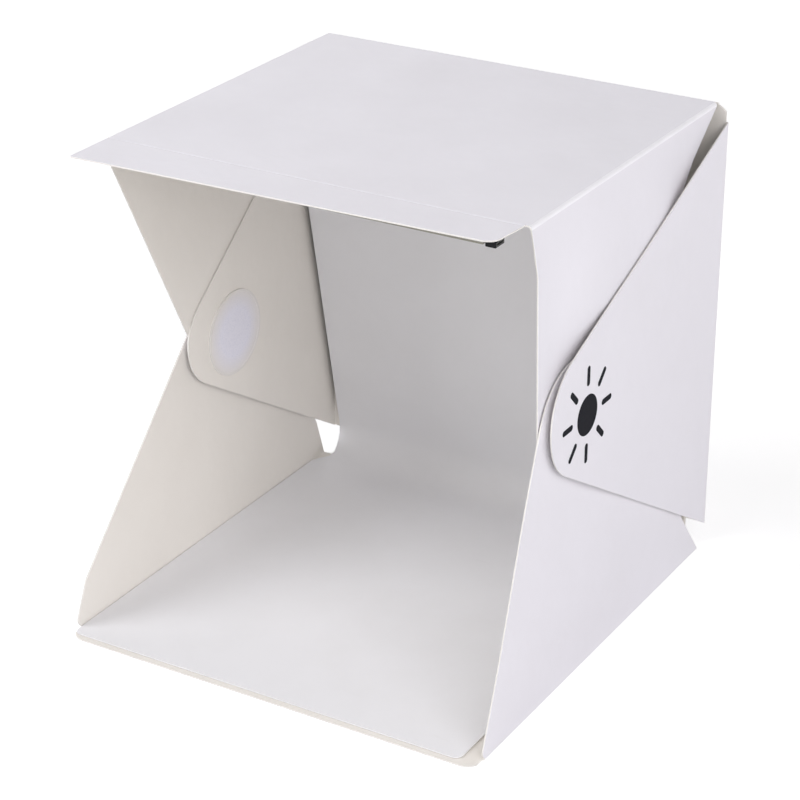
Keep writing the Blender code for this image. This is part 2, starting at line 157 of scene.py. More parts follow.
SMALL_FINISHES = {
    # finish: (light tone, dark tone, scale of its grain, range of roughness, metal)
    "board_core": (paint(158, 156, 146), paint(128, 126, 116), 2800.0, (0.70, 0.85), 0.0),
    "solder": (paint(196, 198, 198), paint(150, 152, 154), 1500.0, (0.28, 0.50), 1.0),
    "lamp_body": (paint(240, 238, 230), paint(226, 222, 208), 2600.0, (0.30, 0.42), 0.0),
    "lamp_window": (paint(240, 214, 92), paint(226, 190, 62), 5200.0, (0.20, 0.36), 0.0),
    "chip_glaze": (paint(30, 30, 33), paint(52, 52, 56), 3000.0, (0.25, 0.40), 0.0),
    "foam_tape": (paint(176, 178, 177), paint(140, 142, 141), 1600.0, (0.80, 0.92), 0.0),
    "socket_plastic": (paint(13, 13, 14), paint(27, 27, 29), 2400.0, (0.40, 0.55), 0.0),
    "socket_steel": (paint(206, 206, 203), paint(160, 160, 158), 700.0, (0.20, 0.36), 1.0),
    "gold_plate": (paint(222, 188, 104), paint(186, 146, 70), 1800.0, (0.20, 0.34), 1.0),
}

# Textures. A noise is given as scale, detail and roughness; bump heights are in metres.
MIDTONES = (0.3, 0.7)               # range of a grain that gloss follows
GRAIN_FINE = (3.0, 0.6)             # detail and roughness
GRAIN_BROAD = (2.0, 0.5)
GRAIN_BROAD_SCALE = 0.22
GRAIN_BROAD_SHARE = 0.6
GRAIN_LEVEL = 0.62
CLOUD_NOISE = (14.0, 4.0, 0.62)
CLOUD_RANGE = (0.42, 0.72)
CLOUD_SHARE = 0.55
RUB_STRETCH = (9.0, 55.0, 38.0)
RUB_TURN = (0.5, 0.3, 0.6)
RUB_NOISE = (5.0, 5.0, 0.7)
RUB_RANGE = (0.64, 0.78)
RUB_SHARE = 0.45
SOIL_SHARE = 0.5
SHEET_MARKS = 0.55
SHEET_GRAIN = 1400.0
SHEET_GRAIN_BUMP = (0.00006, 0.8)   # height and strength
SHEET_WAVE = 0.0012
MARKS_DULL = 0.15
OUTSIDE_GLOSS = (0.40, 0.52)
INSIDE_GLOSS = (0.46, 0.58)
CUT_NOISE = (2600.0, 2.0, 0.6)
CUT_GLOSS = (0.5, 0.75)
CUT_BUMP = 0.00004
BACKDROP_MARKS = 0.6
BACKDROP_GRAIN = 1900.0
BACKDROP_GLOSS = (0.56, 0.68)
BACKDROP_BUMP = 0.00005
LOOP_CELLS = 1500.0
LOOP_CELL_DEPTH = -0.5
LOOP_NOISE = (900.0, 4.0, 0.7)
LOOP_RANGE = (-0.1, 0.4)
LOOP_EDGE = (0.55, 1.0)
LOOP_GLOSS = (0.95, 0.8)
LOOP_BUMP = 0.00006
LOOP_SHEEN = 0.25
LOOP_SHEEN_ROUGHNESS = 0.5
SELVEDGE_RIBS = 420.0
SELVEDGE_WOBBLE = 1.2
SELVEDGE_GLOSS = (0.62, 0.5)
SELVEDGE_BUMP = 0.00003
SPECK_NOISE = (4.0, 0.6)            # detail and roughness
SPECK_RANGE = (0.35, 0.65)
SPECK_BUMP = 0.00003
PLAIN_SHINE = 0.5
SOCKET_SHINE = 0.2
SOLDER_BUMP = 0.00005
STEEL_BUMP = 0.00001
TAPE_BUMP = 0.00012
EVEN = (1, 1, 1)
BRUSHED = (1, 12, 12)
TRACK_ACROSS = 0.0021
TRACK_ALONG = 0.0141
TRACK_EDGE = (0.0002, 0.0003)
TRACK_BUMP = 0.00005
BOARD_NOISE = (2400.0, 3.0, 0.6)
BOARD_NOISE_SHARE = 0.5
BOARD_TRACK_SHARE = 0.4
BOARD_GLOSS = (0.28, 0.4)
INK_GRAIN = 2200.0
INK_WORN_RANGE = (0.55, 0.8)
INK_GLOSS = (0.7, 0.85)
INK_SHINE = 0.15


# Camera, floor and light

def set_camera():
    back = Vector((math.sin(CAMERA_TURN) * math.cos(CAMERA_RISE),
                   -math.cos(CAMERA_TURN) * math.cos(CAMERA_RISE), math.sin(CAMERA_RISE)))
    right = Vector((math.cos(CAMERA_TURN), math.sin(CAMERA_TURN), 0))
    up = back.cross(right)
    place = back * CAMERA_DISTANCE + right * CAMERA_RIGHT + up * CAMERA_UP
    lens = bpy.data.cameras.new("camera")
    lens.sensor_width = SENSOR
    lens.lens = FOCAL_PIXELS * SENSOR / IMAGE_WIDTH
    lens.clip_end = VIEW_REACH
    camera = bpy.data.objects.new("camera", lens)
    bpy.context.scene.collection.objects.link(camera)
    turn = Matrix((right, up, back)).transposed().to_4x4()
    camera.matrix_world = Matrix.Translation(place) @ turn
    bpy.context.scene.camera = camera


def set_world():
    """White to the camera, to gloss and through glass; a plain level of light to the rest."""
    world = bpy.data.worlds.new("studio")
    bpy.context.scene.world = world
    world.use_nodes = True
    tree = world.node_tree
    tree.nodes.clear()
    rays = tree.nodes.new("ShaderNodeLightPath")
    seen = math_node(tree, "MAXIMUM", rays.outputs["Is Camera Ray"],
                     rays.outputs["Is Glossy Ray"])
    seen = math_node(tree, "MAXIMUM", seen, rays.outputs["Is Transmission Ray"])
    lit = tree.nodes.new("ShaderNodeBackground")
    lit.inputs["Color"].default_value = AMBIENT_TINT
    lit.inputs["Strength"].default_value = AMBIENT
    white = tree.nodes.new("ShaderNodeBackground")
    white.inputs["Color"].default_value = WHITE
    white.inputs["Strength"].default_value = 1.0
    mix = tree.nodes.new("ShaderNodeMixShader")
    out = tree.nodes.new("ShaderNodeOutputWorld")
    tree.links.new(seen, mix.inputs["Fac"])
    tree.links.new(lit.outputs["Background"], mix.inputs[1])
    tree.links.new(white.outputs["Background"], mix.inputs[2])
    tree.links.new(mix.outputs["Shader"], out.inputs["Surface"])


def set_lamps():
    for name, place, size, watts, colour in LAMPS:
        lamp = bpy.data.lights.new(name, "AREA")
        lamp.shape = "SQUARE"
        lamp.size = size
        lamp.energy = watts
        lamp.color = colour
        holder = bpy.data.objects.new(name, lamp)
        bpy.context.scene.collection.objects.link(holder)
        holder.location = place
        aim = Vector(LAMP_AIM) - Vector(place)
        holder.rotation_euler = aim.to_track_quat("-Z", "Y").to_euler()


def set_floor():
    """Pale floor, lifted to white for the camera where no shadow falls."""
    bm = bmesh.new()
    bmesh.ops.create_circle(bm, cap_ends=True, segments=FLOOR_SIDES, radius=FLOOR_RADIUS)
    mesh = bpy.data.meshes.new("floor")
    bm.to_mesh(mesh)
    bm.free()
    floor = bpy.data.objects.new("floor", mesh)
    bpy.context.scene.collection.objects.link(floor)
    material, tree, shader = new_material("pale_floor")
    shader.inputs["Base Color"].default_value = FLOOR_GREY
    shader.inputs["Roughness"].default_value = FLOOR_ROUGHNESS
    shader.inputs["Specular IOR Level"].default_value = FLOOR_SHINE
    rays = tree.nodes.new("ShaderNodeLightPath")
    lift = tree.nodes.new("ShaderNodeEmission")
    lift.inputs["Color"].default_value = WHITE
    away = tree.nodes.new("ShaderNodeVectorMath")
    away.operation = "LENGTH"
    tree.links.new(object_place(tree), away.inputs[0])
    level = ramp(tree, away.outputs["Value"], *FLOOR_FAR, FLOOR_LIFT, FLOOR_LIFT + FLOOR_FAR_LIFT)
    strength = math_node(tree, "MULTIPLY", rays.outputs["Is Camera Ray"], level)
    tree.links.new(strength, lift.inputs["Strength"])
    both = tree.nodes.new("ShaderNodeAddShader")
    tree.links.new(shader.outputs["BSDF"], both.inputs[0])
    tree.links.new(lift.outputs["Emission"], both.inputs[1])
    out = tree.nodes["Material Output"]
    tree.links.new(both.outputs["Shader"], out.inputs["Surface"])
    mesh.materials.append(material)


# Nodes

def connect(tree, value, socket):
    """Link a socket, or set a plain number or colour."""
    if isinstance(value, bpy.types.NodeSocket):
        tree.links.new(value, socket)
    else:
        socket.default_value = value


def math_node(tree, operation, first, second=None, third=None):
    node = tree.nodes.new("ShaderNodeMath")
    node.operation = operation
    for value, socket in zip((first, second, third), node.inputs):
        if value is not None:
            connect(tree, value, socket)
    return node.outputs["Value"]


def mix_colour(tree, share, first, second):
    node = tree.nodes.new("ShaderNodeMix")
    node.data_type = "RGBA"
    connect(tree, share, node.inputs["Factor"])
    connect(tree, first, node.inputs["A"])
    connect(tree, second, node.inputs["B"])
    return node.outputs["Result"]


def ramp(tree, value, low, high, to_low=0.0, to_high=1.0):
    node = tree.nodes.new("ShaderNodeMapRange")
    node.clamp = True
    for name, number in (("From Min", low), ("From Max", high),
                         ("To Min", to_low), ("To Max", to_high)):
        connect(tree, number, node.inputs[name])
    tree.links.new(value, node.inputs["Value"])
    return node.outputs["Result"]


def noise(tree, place, scale, detail, roughness):
    node = tree.nodes.new("ShaderNodeTexNoise")
    connect(tree, place, node.inputs["Vector"])
    connect(tree, scale, node.inputs["Scale"])
    node.inputs["Detail"].default_value = detail
    node.inputs["Roughness"].default_value = roughness
    return node.outputs["Fac"]


def object_place(tree):
    return tree.nodes.new("ShaderNodeTexCoord").outputs["Object"]


def bump(tree, height, distance, strength=1.0, under=None):
    node = tree.nodes.new("ShaderNodeBump")
    node.inputs["Strength"].default_value = strength
    node.inputs["Distance"].default_value = distance
    tree.links.new(height, node.inputs["Height"])
    if under is not None:
        tree.links.new(under, node.inputs["Normal"])
    return node.outputs["Normal"]


def new_material(name):
    material = bpy.data.materials.new(name)
    material.use_nodes = True
    tree = material.node_tree
    return material, tree, tree.nodes["Principled BSDF"]


def new_group(name, inputs, outputs):
    """Node group with named sockets, as (tree, its inputs, its outputs)."""
    tree = bpy.data.node_groups.new(name, "ShaderNodeTree")
    for label, kind, value in inputs:
        socket = tree.interface.new_socket(name=label, in_out="INPUT", socket_type=kind)
        socket.default_value = value
    for label, kind in outputs:
        tree.interface.new_socket(name=label, in_out="OUTPUT", socket_type=kind)
    source = tree.nodes.new("NodeGroupInput")
    sink = tree.nodes.new("NodeGroupOutput")
    return tree, source.outputs, sink.inputs


def use_group(tree, group, **values):
    node = tree.nodes.new("ShaderNodeGroup")
    node.node_tree = group
    for label, value in values.items():
        connect(tree, value, node.inputs[label])
    return node.outputs


FLOAT = "NodeSocketFloat"


def make_grain_group():
    """Fine satin grain of calendered plastic."""
    tree, given, result = new_group("satin_grain", [("Scale", FLOAT, SHEET_GRAIN)],
                                    [("Grain", FLOAT)])
    place = object_place(tree)
    fine = noise(tree, place, given["Scale"], *GRAIN_FINE)
    broad_scale = math_node(tree, "MULTIPLY", given["Scale"], GRAIN_BROAD_SCALE)
    broad = noise(tree, place, broad_scale, *GRAIN_BROAD)
    total = math_node(tree, "MULTIPLY_ADD", broad, GRAIN_BROAD_SHARE, fine)
    tree.links.new(math_node(tree, "MULTIPLY", total, GRAIN_LEVEL), result["Grain"])
    return tree


def make_marks_group():
    """Handling marks: soft clouds and a few thin rubs."""
    tree, given, result = new_group("handling_marks", [("Amount", FLOAT, SHEET_MARKS)],
                                    [("Marks", FLOAT), ("Clouds", FLOAT)])
    place = object_place(tree)
    clouds = noise(tree, place, *CLOUD_NOISE)
    stretch = tree.nodes.new("ShaderNodeMapping")
    stretch.inputs["Scale"].default_value = RUB_STRETCH
    stretch.inputs["Rotation"].default_value = RUB_TURN
    tree.links.new(place, stretch.inputs["Vector"])
    rubs = ramp(tree, noise(tree, stretch.outputs["Vector"], *RUB_NOISE), *RUB_RANGE)
    cloudy = math_node(tree, "MULTIPLY", ramp(tree, clouds, *CLOUD_RANGE), CLOUD_SHARE)
    total = math_node(tree, "MULTIPLY_ADD", rubs, RUB_SHARE, cloudy)
    tree.links.new(math_node(tree, "MULTIPLY", total, given["Amount"]), result["Marks"])
    tree.links.new(clouds, result["Clouds"])
    return tree


GRAIN = make_grain_group()
MARKS = make_marks_group()


def sheet_material(name, colour, soil, gloss_range):
    """One face of the creased sheet: satin grain, soft handling marks, a slight wave."""
    material, tree, shader = new_material(name)
    marks = use_group(tree, MARKS, Amount=SHEET_MARKS)
    grain = use_group(tree, GRAIN, Scale=SHEET_GRAIN)
    soiled = math_node(tree, "MULTIPLY", marks["Marks"], SOIL_SHARE)
    tree.links.new(mix_colour(tree, soiled, colour, soil), shader.inputs["Base Color"])
    gloss = ramp(tree, grain["Grain"], *MIDTONES, *gloss_range)
    gloss = math_node(tree, "MULTIPLY_ADD", marks["Marks"], MARKS_DULL, gloss)
    tree.links.new(gloss, shader.inputs["Roughness"])
    wave = bump(tree, marks["Clouds"], SHEET_WAVE)
    tree.links.new(bump(tree, grain["Grain"], *SHEET_GRAIN_BUMP, wave), shader.inputs["Normal"])
    shader.inputs["Specular IOR Level"].default_value = SHEET_SHINE
    return material


def cut_material():
    """Bare core of the sheet where the knife went through, in fine layers."""
    material, tree, shader = new_material("sheet_cut")
    streaks = noise(tree, object_place(tree), *CUT_NOISE)
    tree.links.new(mix_colour(tree, streaks, SHEET_CORE, SHEET_CORE_DARK),
                   shader.inputs["Base Color"])
    tree.links.new(ramp(tree, streaks, *MIDTONES, *CUT_GLOSS), shader.inputs["Roughness"])
    tree.links.new(bump(tree, streaks, CUT_BUMP), shader.inputs["Normal"])
    return material


def backdrop_material():
    """Matte sheet that things are photographed on."""
    material, tree, shader = new_material("matte_backdrop")
    marks = use_group(tree, MARKS, Amount=BACKDROP_MARKS)
    grain = use_group(tree, GRAIN, Scale=BACKDROP_GRAIN)
    soiled = math_node(tree, "MULTIPLY", marks["Marks"], SOIL_SHARE)
    tree.links.new(mix_colour(tree, soiled, BACKDROP_PAINT, BACKDROP_SOIL),
                   shader.inputs["Base Color"])
    tree.links.new(ramp(tree, grain["Grain"], *MIDTONES, *BACKDROP_GLOSS),
                   shader.inputs["Roughness"])
    tree.links.new(bump(tree, grain["Grain"], BACKDROP_BUMP), shader.inputs["Normal"])
    return material


DOT_REACH = "reach"         # from the middle of a dot, 0, to its rim, 1


def loop_material():
    """Loop face of a dot: a short, soft nap."""
    material, tree, shader = new_material("loop_cloth")
    place = object_place(tree)
    cells = tree.nodes.new("ShaderNodeTexVoronoi")
    cells.inputs["Scale"].default_value = LOOP_CELLS
    tree.links.new(place, cells.inputs["Vector"])
    tufts = noise(tree, place, *LOOP_NOISE)
    nap = math_node(tree, "MULTIPLY_ADD", cells.outputs["Distance"], LOOP_CELL_DEPTH, tufts)
    reach = tree.nodes.new("ShaderNodeAttribute")
    reach.attribute_name = DOT_REACH
    worn = ramp(tree, reach.outputs["Fac"], *LOOP_EDGE)
    cloth = mix_colour(tree, ramp(tree, nap, *LOOP_RANGE), DOT_SHADE, DOT_CLOTH)
    tree.links.new(mix_colour(tree, worn, cloth, DOT_EDGE), shader.inputs["Base Color"])
    tree.links.new(ramp(tree, nap, *LOOP_RANGE, *LOOP_GLOSS), shader.inputs["Roughness"])
    tree.links.new(bump(tree, nap, LOOP_BUMP), shader.inputs["Normal"])
    shader.inputs["Sheen Weight"].default_value = LOOP_SHEEN
    shader.inputs["Sheen Roughness"].default_value = LOOP_SHEEN_ROUGHNESS
    return material


def selvedge_material():
    """Pressed rim of a dot, with the weave of its backing."""
    material, tree, shader = new_material("dot_selvedge")
    weave = tree.nodes.new("ShaderNodeTexWave")
    weave.inputs["Scale"].default_value = SELVEDGE_RIBS
    weave.inputs["Distortion"].default_value = SELVEDGE_WOBBLE
    tree.links.new(object_place(tree), weave.inputs["Vector"])
    rib = weave.outputs["Fac"]
    tree.links.new(mix_colour(tree, rib, DOT_RIM_SHADE, DOT_RIM_PAINT),
                   shader.inputs["Base Color"])
    tree.links.new(ramp(tree, rib, 0.0, 1.0, *SELVEDGE_GLOSS), shader.inputs["Roughness"])
    tree.links.new(bump(tree, rib, SELVEDGE_BUMP), shader.inputs["Normal"])
    return material


def small_material(name, grain=SPECK_BUMP, stretch=EVEN, shine=PLAIN_SHINE):
    """Finish of a small part: two close tones in a fine grain that gloss and bump follow."""
    light, dark, scale, gloss, metal = SMALL_FINISHES[name]
    material, tree, shader = new_material(name)
    spread = tree.nodes.new("ShaderNodeMapping")
    spread.inputs["Scale"].default_value = stretch
    tree.links.new(object_place(tree), spread.inputs["Vector"])
    speck = noise(tree, spread.outputs["Vector"], scale, *SPECK_NOISE)
    tree.links.new(mix_colour(tree, ramp(tree, speck, *SPECK_RANGE), light, dark),
                   shader.inputs["Base Color"])
    tree.links.new(ramp(tree, speck, *MIDTONES, *gloss), shader.inputs["Roughness"])
    tree.links.new(bump(tree, speck, grain), shader.inputs["Normal"])
    shader.inputs["Metallic"].default_value = metal
    shader.inputs["Specular IOR Level"].default_value = shine
    return material


def board_material():
    """White solder mask with the copper's broad tracks showing as low steps."""
    material, tree, shader = new_material("board_mask")
    place = object_place(tree)
    split = tree.nodes.new("ShaderNodeSeparateXYZ")
    tree.links.new(place, split.inputs["Vector"])
    across = math_node(tree, "PINGPONG", split.outputs["Y"], TRACK_ACROSS)
    along = math_node(tree, "PINGPONG", split.outputs["X"], TRACK_ALONG)
    track = math_node(tree, "MULTIPLY", ramp(tree, across, *TRACK_EDGE),
                      ramp(tree, along, *TRACK_EDGE))
    fine = noise(tree, place, *BOARD_NOISE)
    tone = math_node(tree, "MULTIPLY_ADD", fine, BOARD_NOISE_SHARE,
                     math_node(tree, "MULTIPLY", track, BOARD_TRACK_SHARE))
    tree.links.new(mix_colour(tree, tone, BOARD_MASK, BOARD_MASK_DARK),
                   shader.inputs["Base Color"])
    tree.links.new(ramp(tree, fine, *MIDTONES, *BOARD_GLOSS), shader.inputs["Roughness"])
    tree.links.new(bump(tree, track, TRACK_BUMP), shader.inputs["Normal"])
    return material


def ink_material():
    """Screen-printed ink, a little thin in places."""
    material, tree, shader = new_material("printed_ink")
    grain = use_group(tree, GRAIN, Scale=INK_GRAIN)
    worn = ramp(tree, grain["Grain"], *INK_WORN_RANGE)
    tree.links.new(mix_colour(tree, worn, INK, INK_WORN), shader.inputs["Base Color"])
    tree.links.new(ramp(tree, grain["Grain"], *MIDTONES, *INK_GLOSS), shader.inputs["Roughness"])
    shader.inputs["Specular IOR Level"].default_value = INK_SHINE
    return material


# the inside finish holds painted warm light: it is painted warmer than the outside, for light
# bounced inside the box
SHEET_FINISH = (sheet_material("sheet_outside", SHEET_OUTSIDE, OUTSIDE_SOIL, OUTSIDE_GLOSS),
                sheet_material("sheet_inside_warm_light", SHEET_INSIDE_WARM_LIGHT, INSIDE_SOIL_WARM_LIGHT, INSIDE_GLOSS),
                cut_material())
# the folds take the painted highlight: their outside is painted lighter than the sheet's
FOLD_FINISH = (sheet_material("sheet_crease_painted_highlight", CREASE_PAINTED_HIGHLIGHT, CREASE_SOIL_ON_PAINTED_HIGHLIGHT, OUTSIDE_GLOSS),
               *SHEET_FINISH[INSIDE:])


# Pieces

def finish_piece(name, bm, materials, body=None, find_sharp=True):
    """Make a piece of a bmesh, whose faces say which of the materials they take."""
    mesh = bpy.data.meshes.new(name)
    bm.to_mesh(mesh)
    bm.free()
    if find_sharp:
        mesh.set_sharp_from_angle(angle=SMOOTH_ANGLE)
    for material in materials:
        mesh.materials.append(material)
    piece = bpy.data.objects.new(name, mesh)
    bpy.context.scene.collection.objects.link(piece)
    if body is not None:
        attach(piece, body)
    return piece


def merged_copy(node):
    """Copy of a node's solid, with its triangles joined to whole faces."""
    bm = bmesh.new()
    bm.from_mesh(NODES[node].data)
    bmesh.ops.remove_doubles(bm, verts=bm.verts, dist=MERGE)
    bmesh.ops.dissolve_limit(bm, angle_limit=FLAT_ANGLE, verts=bm.verts, edges=bm.edges)
    return bm


def cut_back(bm, place, outward):
    """Take off what lies beyond a plane, and close the cut. Gives the cut's corners."""
    whole = bm.verts[:] + bm.edges[:] + bm.faces[:]
    bmesh.ops.bisect_plane(bm, geom=whole, dist=MERGE, plane_co=place, plane_no=outward,
                           clear_outer=True)
    rim = [edge for edge in bm.edges if edge.is_boundary]
    bmesh.ops.edgeloop_fill(bm, edges=rim)
    return [vert.co.copy() for edge in rim for vert in edge.verts]


def soften_cuts(bm, planes):
    """Round the arrises of a sheet, except where it runs on into a fold."""
    def in_fold(edge):
        for place, outward in planes:
            if all(abs((vert.co - place).dot(outward)) < IN_PLANE for vert in edge.verts):
                return True
        return False

    arrises = [edge for edge in bm.edges
               if edge.is_manifold and edge.calc_face_angle(0) > ARRIS_ANGLE and not in_fold(edge)]
    bmesh.ops.bevel(bm, geom=arrises, offset=CUT_ROUND, offset_type="OFFSET",
                    segments=CUT_STEPS, profile=0.5, affect="EDGES", material=-1,
                    clamp_overlap=True)


def finish_of(facing):
    """Finish of a sheet's face, from how far it faces outward."""
    return OUTSIDE if facing > FACING else INSIDE if facing < -FACING else CUT


def paint_sheet(bm, outward):
    """Outside, inside and cut finishes; broad faces are shaded apart from the cut edges."""
    broad = set()
    for face in bm.faces:
        facing = face.normal.dot(outward)
        face.material_index = finish_of(facing)
        face.smooth = True
        if abs(facing) > BROAD_FACING:
            broad.add(face)
    for edge in bm.edges:
        sides = [face in broad for face in edge.link_faces]
        edge.smooth = all(sides) or not any(sides) and edge.calc_face_angle(0) < SMOOTH_ANGLE


def divide(bm, outward):
    """Cut a sheet into a grid, so that it can bow."""
    for axis in range(3):
        if abs(outward[axis]) > FACING:
            continue
        along = Vector([float(i == axis) for i in range(3)])
        low = min(vert.co[axis] for vert in bm.verts)
        high = max(vert.co[axis] for vert in bm.verts)
        steps = round((high - low) / BOW_GRID)
        for i in range(1, steps):
            bmesh.ops.bisect_plane(bm, geom=bm.verts[:] + bm.edges[:] + bm.faces[:], dist=MERGE,
                                   plane_co=along * (low + (high - low) * i / steps),
                                   plane_no=along)


def sheet_panel(node, body, outward, cuts, bow=None):
    """Dressed copy of a panel, cut back where folds take over, and bowed where a bow is given."""
    bm = merged_copy(node)
    outward = Vector(outward)
    corners = {}
    for fold, (place, normal) in cuts.items():
        corners[fold] = cut_back(bm, Vector(place), Vector(normal))
    soften_cuts(bm, [(Vector(place), Vector(normal)) for place, normal in cuts.values()])
    if bow is not None:
        divide(bm, outward)
        for vert in bm.verts:
            vert.co += outward * bow(vert.co)
    bm.normal_update()
    paint_sheet(bm, outward)
    piece = finish_piece(node.replace("_panel", "") + "_sheet", bm, SHEET_FINISH, body,
                         find_sharp=False)
    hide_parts(node)
    return corners


def span(first, second, axis):
    """Stretch along an axis that two cuts have in common."""
    low = max(min(corner[axis] for corner in first), min(corner[axis] for corner in second))
    high = min(max(corner[axis] for corner in first), max(corner[axis] for corner in second))
    return low, high


def fold_strip(name, centre, from_arm, to_arm, ends):
    """Quarter-round fold. The arms point from its centre to its two ends."""
    start, finish = Vector(from_arm), Vector(to_arm)
    turn = start.cross(finish)
    axis = max(range(3), key=lambda i: abs(turn[i]))
    along = Vector([float(i == axis) for i in range(3)])
    centre = Vector(centre)
    centre[axis] = 0
    inner = FOLD_R - SHEET
    bm = bmesh.new()
    corners = [bm.verts.new(centre + start * reach + along * end)
               for reach, end in ((inner, ends[0]), (FOLD_R, ends[0]),
                                  (FOLD_R, ends[1]), (inner, ends[1]))]
    bm.faces.new(corners)
    bmesh.ops.spin(bm, geom=bm.faces[:], cent=centre, axis=turn, dvec=(0, 0, 0),
                   angle=math.pi / 2, steps=FOLD_STEPS, use_duplicate=False)
    bmesh.ops.recalc_face_normals(bm, faces=bm.faces)
    for face in bm.faces:
        away = face.calc_center_median() - centre
        away[axis] = 0
        face.material_index = finish_of(face.normal.dot(away.normalized()))
        face.smooth = face.material_index != CUT
    piece = finish_piece(name, bm, FOLD_FINISH)
    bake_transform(piece)


def crease_web(front, rear, ends, roof):
    """Scored strip of sheet that joins the roof and the lip, thinned by a groove on top."""
    bm = bmesh.new()
    bmesh.ops.create_grid(bm, x_segments=1, y_segments=SCORE_STEPS, size=UNIT_HALF)
    for vert in bm.verts:
        across = vert.co.x + UNIT_HALF
        share = vert.co.y + UNIT_HALF
        vert.co = (ends[0] + (ends[1] - ends[0]) * across, front + (rear - front) * share,
                   roof - SCORE_DEPTH * math.sin(math.pi * share) ** 2)
    bmesh.ops.recalc_face_normals(bm, faces=bm.faces)
    grown = bmesh.ops.extrude_face_region(bm, geom=bm.faces[:])["geom"]
    under = [item for item in grown if isinstance(item, bmesh.types.BMVert)]
    for vert in under:
        vert.co.z = 2 * roof - SHEET - vert.co.z
    bmesh.ops.recalc_face_normals(bm, faces=bm.faces)
    for face in bm.faces:
        face.material_index = finish_of(face.normal.z)
        face.smooth = face.material_index != CUT
    piece = finish_piece("crease_top_lip", bm, SHEET_FINISH)
    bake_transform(piece)


# How the side flaps bow between their creases and their dots, outward counted positive

FLAP_BOWS = {
    # flap: (over its middle line by the dot, further off, under its middle line)
    "rear_flap_right": (-0.0002, 0.0003, -0.0014),
    "rear_flap_left": (0.0, 0.00025, 0.0027),
}
REAR_MIDDLE = (0.124, 0.136)    # height of a rear flap's middle line at its crease and dot
REAR_HALF = (0.107, 0.030)
REAR_RUN = 0.07                 # over which a bow grows from the crease
DOT_RUN = 0.06                  # and from the dot
NEAR_RUN = 0.02                 # over which the sheet turns in beside the dot
UPPER_BOW = 0.0044              # an upper flap bulges against the rear flap over it,
UPPER_EAVES_RUN = 0.04          # from its crease,
UPPER_LOW = (0.160, 0.187)      # down to the lower flap,
UPPER_FRONT = (-0.058, -0.010)  # and flat along its front edge
UPPER_REAR = (0.080, 0.048)     # and its rear corner
LOWER_BOW = -0.0014
LOWER_RUN = 0.014
LOWER_FROM = 0.03
LOWER_TO = 0.12


def ease(value):
    value = min(max(value, 0.0), 1.0)
    return value * value * (3 - 2 * value)


def rise(value, between):
    """Soft step from 0 at the first of two places to 1 at the second."""
    return ease((value - between[0]) / (between[1] - between[0]))


def dot_reach(label, place):
    """Distance of a place from the rim of the side's dots, in the flap's plane."""
    low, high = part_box("dot_rear_" + label)
    middle = (low + high) / 2
    return math.hypot(place.y - middle.y, place.z - middle.z) - (high.y - low.y) / 2


def rear_bow(label):
    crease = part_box("rear_flap_" + label)[1].y
    low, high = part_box("dot_rear_" + label)
    dot_y = (low.y + high.y) / 2
    near, over, under = FLAP_BOWS["rear_flap_" + label]
    shift = (low.z + high.z) / 2 - REAR_MIDDLE[1]

    def bow(place):
        share = (crease - place.y) / (crease - dot_y)
        middle = REAR_MIDDLE[0] + (REAR_MIDDLE[1] + shift - REAR_MIDDLE[0]) * share
        half = REAR_HALF[0] + (REAR_HALF[1] - REAR_HALF[0]) * share
        off = (place.z - middle) / half
        reach = dot_reach(label, place)
        size = ease(reach / DOT_RUN) * (over if off > 0 else under)
        if off > 0:
            size += near * ease(reach / NEAR_RUN) * (1 - ease(reach / DOT_RUN))
        return size * ease(abs(off)) * ease((crease - place.y) / REAR_RUN)
    return bow


def upper_bow(label):
    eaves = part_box("upper_flap_" + label)[1].z

    def bow(place):
        size = UPPER_BOW * ease((eaves - place.z) / UPPER_EAVES_RUN)
        return size * rise(place.z, UPPER_LOW) * rise(place.y, UPPER_FRONT) * rise(
            place.y, UPPER_REAR)
    return bow


def lower_bow(label):
    def bow(place):
        return LOWER_BOW * ease(dot_reach(label, place) / LOWER_RUN) * ease(
            (place.z - LOWER_FROM) / (LOWER_TO - LOWER_FROM))
    return bow


